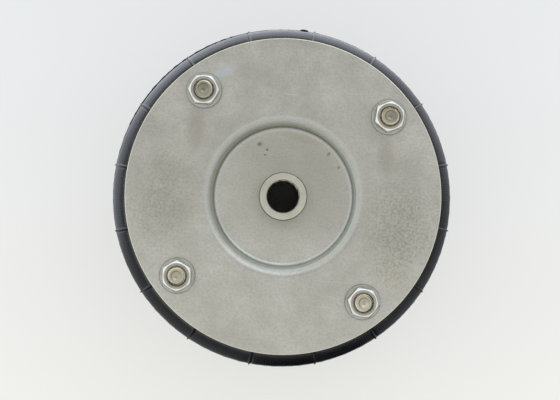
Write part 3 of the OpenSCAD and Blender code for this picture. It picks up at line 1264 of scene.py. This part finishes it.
@dataclass
class Studio:
    """Floor, soft light and camera: the camera looks down the axis at the port.

    The camera's lengths are millimetres and those of the room around it metres. A brightness of 1 is white.
    """

    roll: float = 8.2
    face_z: float = 164.2
    distance: float = 900.0
    offset: tuple[float, float] = (-17.0, -17.0)
    aim: tuple[float, float] = (-1.86, -2.09)
    view_angle: float = 20.03
    floor_half: float = 6.0
    floor_z: float = -0.0002
    floor_colour: str = "#E8E9EB"
    floor_near: str = "#F1F0EC"
    floor_blend: float = 0.14
    shadow: float = 0.45
    dark_side: str = "#48494B"
    dark_reach: tuple[float, float] = (0.9, 0.4)
    lit_from: float = 12.0
    glints: tuple[tuple[float, str], ...] = (
        (0.0, "#161617"), (0.02, "#1B1C1D"), (0.08, "#646569"), (0.25, "#686A6D"), (0.4, "#717377"),
        (0.6, "#ABB0B8"), (0.77, "#B2B7BF"), (0.92, "#EAF1FD"), (1.0, "#EEF6FF"))
    low_sky: tuple[str, str] = ("#A6A69D", "#DCE8F6")
    middle_sky: tuple[str, str] = ("#DFE4E8", "#F6F6F2")
    zenith: tuple[str, str] = ("#F6F4EF", "#C8C7C4")
    room_level: float = 1.38
    window_at: tuple[float, float, float] = (0.4, 1.25, 1.5)
    window_size: tuple[float, float] = (1.2, 1.0)
    window_aim: tuple[float, float, float] = (0.0, 0.0, 0.1)
    window_level: float = 0.68
    window_colour: str = "#DDEBFF"

    @property
    def up(self) -> Vector:
        """Direction of the top of the picture along the floor."""
        a = math.radians(self.roll)
        return Vector((-math.sin(a), math.cos(a), 0))

    @property
    def right(self) -> Vector:
        """Direction of the right side of the picture along the floor."""
        return self.up.cross(Vector((0, 0, 1)))

    def camera(self) -> None:
        """Place the camera over the top plate, a little off the axis as in the photo."""
        up, right = self.up, self.right
        centre = Vector((0, 0, self.face_z))
        eye = centre + right * self.offset[0] + up * self.offset[1] + Vector((0, 0, self.distance))
        target = centre + right * self.aim[0] + up * self.aim[1]
        ahead = (target - eye).normalized()
        across = ahead.cross(up).normalized()
        over = across.cross(ahead)
        data = bpy.data.cameras.new("camera")
        data.sensor_width = 36.0
        data.angle = math.radians(self.view_angle)
        data.clip_start, data.clip_end = 0.01, 50.0
        camera = bpy.data.objects.new("camera", data)
        camera.matrix_world = Matrix((across, over, -ahead)).transposed().to_4x4()
        camera.location = eye * MM
        bpy.context.scene.collection.objects.link(camera)
        bpy.context.scene.camera = camera

    def floor(self) -> None:
        """Lay the pale floor that the base bolts stand on, which glows in reflections as painted light."""
        h, z = self.floor_half, self.floor_z
        mesh = bpy.data.meshes.new("floor")
        mesh.from_pydata([(-h, -h, z), (h, -h, z), (h, h, z), (-h, h, z)], [], [(0, 1, 2, 3)])
        floor = bpy.data.objects.new("floor", mesh)
        bpy.context.scene.collection.objects.link(floor)
        material = bpy.data.materials.new("painted_board")
        material.use_nodes = True
        graph = Graph(material.node_tree)
        rays = graph.add("LightPath").outputs
        seen = graph.math("MAXIMUM", rays["Is Camera Ray"], rays["Is Transmission Ray"])
        seen = graph.math("MAXIMUM", graph.math("MULTIPLY", seen, 1 - self.shadow), rays["Is Glossy Ray"])
        place = graph.add("TexCoord").outputs["Object"]
        height = graph.remap(graph.vector("DOT_PRODUCT", place, self.up), -self.floor_blend, self.floor_blend)
        paint = graph.mix(height, self.floor_near, self.floor_colour)
        board = graph.add("BsdfDiffuse", {"Color": paint}).outputs[0]
        # Glossy rays see the floor glow with the painted reflection instead of its lit colour
        shown = graph.mix(rays["Is Glossy Ray"], paint, self.painted_reflection(graph, place))
        glow = graph.add("Emission", {"Color": shown}).outputs[0]
        mixed = graph.add("MixShader", {0: seen, 1: board, 2: glow}).outputs[0]
        graph.add("OutputMaterial", {"Surface": mixed})
        mesh.materials.append(material)

    def painted_reflection(self, graph: Graph, place: Socket) -> Socket:
        """Colour the floor's painted reflection, which falls off to its unlit side and to the far walls.

        Args:
            graph: Nodes of the floor.
            place: Place on the floor.

        Returns:
            The colour.
        """
        lit = Matrix.Rotation(math.radians(self.lit_from), 3, "Z") @ self.up
        side = graph.vector("DOT_PRODUCT", graph.vector("NORMALIZE", place), lit)
        ramp = graph.add("ValToRGB", {0: graph.remap(side, -1.0, 1.0)})
        stops = ramp.color_ramp.elements
        for i, (share, colour) in enumerate(self.glints):
            stop = stops[i] if i < len(stops) else stops.new(share)
            stop.position, stop.color = share, linear(colour)
        near = graph.remap(graph.vector("LENGTH", place), *self.dark_reach, soft=True)
        return graph.mix(near, self.dark_side, ramp.outputs[0])

    def window(self) -> None:
        """Hang the soft box that stands for a window and faces the actuator."""
        data = bpy.data.lights.new("window", "AREA")
        data.shape, data.size, data.size_y = "RECTANGLE", *self.window_size
        data.energy = self.window_level * math.pi * data.size * data.size_y
        data.color = linear(self.window_colour)[:3]
        lamp = bpy.data.objects.new("window", data)
        lamp.location = self.window_at
        lamp.visible_camera = False
        lamp.rotation_mode = "QUATERNION"
        lamp.rotation_quaternion = (Vector(self.window_aim) - Vector(self.window_at)).to_track_quat("-Z", "Y")
        bpy.context.scene.collection.objects.link(lamp)

    def sky(self) -> None:
        """Surround the actuator with an even studio, brighter behind the top of the picture."""
        world = bpy.data.worlds.new("studio")
        bpy.context.scene.world = world
        world.use_nodes = True
        graph = Graph(world.node_tree)
        way = graph.add("TexCoord").outputs["Generated"]
        height = graph.add("SeparateXYZ", {0: way}).outputs[2]
        up, right = self.up, self.right
        # Bands from the horizon up: where each sets in, the side that it turns to, how far, and its colours
        bands = ((0.0, 0.12, up * 0.8 - right * 0.6, 0.8, self.low_sky),
                 (0.2, 0.6, up * 0.7 - right * 0.7, 0.9, self.middle_sky),
                 (0.85, 0.98, up, 0.13, self.zenith))
        colour = self.dark_side
        for start, stop, towards, reach, ends in bands:
            side = graph.remap(graph.vector("DOT_PRODUCT", way, towards), -reach, reach)
            colour = graph.mix(graph.remap(height, start, stop, soft=True), colour, graph.mix(side, *ends))
        room = graph.add("Background", {"Color": colour, "Strength": self.room_level}).outputs[0]
        backdrop = graph.add("Background", {"Color": linear(self.floor_colour)}).outputs[0]
        seen = graph.add("LightPath").outputs["Is Camera Ray"]
        air = graph.add("MixShader", {0: seen, 1: room, 2: backdrop}).outputs[0]
        graph.add("OutputWorld", {"Surface": air})

    def build(self) -> None:
        """Build the whole studio."""
        self.camera()
        self.floor()
        self.window()
        self.sky()
        bpy.context.scene.view_settings.view_transform = "Standard"


PLATE_STAINS_AND_SHADE = (
    # Painted shade over the dish, with a duller pressed floor
    Mark(4.4, 11.0, 106, 102, 8, "#83837A", 0.38),
    # Painted contact shade, with some dirt, around the foot of the bung
    Mark(0.4, -2.6, 46, 44, 0, "#6A685A", 0.5),
    Mark(64.5, -9.0, 74, 60, 80, "#8A8A80", 0.2),
    Mark(-64.1, -3.9, 84, 56, 96, "#8A8A80", 0.2),
    Mark(-54.7, 31.1, 38, 16, 98, "#857E74", 0.36),
    Mark(54.4, 30.0, 36, 15, 98, "#857E74", 0.34),
    Mark(-43.2, 65.2, 22, 8, 34, "#AEB8C4", 0.6),
    Mark(-17.5, 27.7, 5.2, 4.2, 30, "#7A7059", 1.0),
    Mark(-12.9, 25.2, 2.4, 2.2, 0, "#6E6553", 1.0),
    Mark(-13.6, 22.1, 2.4, 1.9, 0, "#756B58", 0.9),
    Mark(22.3, 27.6, 4.2, 2.2, 60, "#7C7363", 0.9),
    Mark(29.0, 21.0, 3.2, 2.0, 70, "#7C7363", 0.8),
    Mark(6.0, 34.4, 34, 7, 170, "#948B70", 0.3),
)

# Areas where the plating is mottled instead of clouded
PLATE_MOTTLES = (
    Mark(68.0, -8.3, 90, 66, 98, "#706E63", 0.42),
    Mark(-68.0, -10.0, 90, 56, 98, "#78776D", 0.36),
    Mark(66.0, -34.0, 40, 32, 60, "#8A7F5E", 0.3),
)

# Painted shade in the cups of the upper bolts
CUP_SHADE_MARKS = (
    Mark(-53.0, 53.5, 11.5, 11, 0, "#5A554B", 0.72),
    Mark(53.7, 53.1, 11, 10.5, 0, "#5E5A50", 0.7),
    Mark(-53.0, -53.0, 9, 8.6, 0, "#8A8374", 0.5),
    Mark(53.2, -52.2, 5.0, 2.4, 20, "#77705F", 0.5),
)


def main() -> None:
    """Build the studio and every sub-assembly in order."""
    logging.basicConfig(level=logging.INFO, format="%(message)s")
    Studio().build()

    # The edges take lighter finishes than the faces: wear from tumbling and handling, and painted highlights
    bright = (0.16, 0.26)
    rim_finish = BarrelZincSteel("zinc_plated_rim_wear_and_highlight", "#EAE4CF", "#D6CFB8", "#DED2AE", 0.3,
                                 bright)
    hardware = {
        "bolts": BarrelZincSteel("barrel_zinc_plated_bolt", "#B9B5A7", "#A19C8C", "#B0A488", 0.3,
                                 (0.14, 0.24), CUP_SHADE_MARKS),
        "washers": BarrelZincSteel("barrel_zinc_plated_washer", "#B0B1AB", "#979892", "#A5A38F", 0.25,
                                   (0.32, 0.44)),
        "nuts": BarrelZincSteel("barrel_zinc_plated_nut", "#A4A39D", "#908F89", "#A09A86", 0.25, (0.28, 0.4)),
        # Lighter bolt tips and nut edges, for wear and as painted highlights
        "bolts_edges": BarrelZincSteel("zinc_plated_tip_wear_and_highlight", "#D2CCB9", "#BBB5A1", "#C2B694", 0.3,
                                       bright),
        "nuts_edges": BarrelZincSteel("zinc_plated_edge_wear_and_highlight", "#E6E6E2", "#D2D2CD", "#DAD6C8", 0.2,
                                      bright),
    }
    ring_finish = TurnedZincSteel("zinc_plated_turned_ring", "#C0C2BE", "#ABADA9", (0.36, 0.5))
    port_finish = TurnedZincSteel("zinc_plated_turned_port", "#B6B4A8", "#A6A498", (0.3, 0.42), 0.45)
    hoop_finish = DrawnSteelRod("drawn_steel_rod", "#94948F", "#74756F", (0.32, 0.5))
    wire_finish = DrawnSteelRod("drawn_bead_wire", "#8E8A80", "#6E6A60", (0.3, 0.45), 0.3, 6.0)
    rubber = MouldedBlackRubber("moulded_black_rubber")
    # Torn flash has no mould skin and no wax on it, so it is dull and quite black
    torn_rubber = MouldedBlackRubber("torn_black_rubber", "#08080A", "#0C0C0E", (0.7, 0.85), 0.3, 0.0)

    plates, rings, fasteners = EndPlates(), FlangeRings(), Fasteners()
    rim_material = rim_finish.build()
    for end, gloss, marks, mottles in ((End.TOP, (0.26, 0.36), PLATE_STAINS_AND_SHADE, PLATE_MOTTLES),
                                       (End.BASE, (0.44, 0.54), (), ())):
        finish = PressedZincSheet(f"zinc_plated_pressed_sheet_{end.value}", end.first_bolt,
                                  fasteners.washer_r, plates.wall_r, gloss, marks, mottles)
        plates.build(end, finish, rim_material)

    ring_material = ring_finish.build()
    hardware_materials = {kind: finish.build() for kind, finish in hardware.items()}
    for end in End:
        rings.build(end, ring_material)
        fasteners.build(end, hardware_materials)

    AirPort().build(port_finish.build())
    GirdleHoop().build(hoop_finish.build())
    Bellows().build(rubber.build(), torn_rubber.build())

    wire_material = wire_finish.build()
    for end in End:
        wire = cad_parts[f"{end.value}_bead_wire"]
        dress(wire, wire_material)
        LOG.info("%s: bead wire inside the rubber", wire.name)


if __name__ == "__main__":
    main()
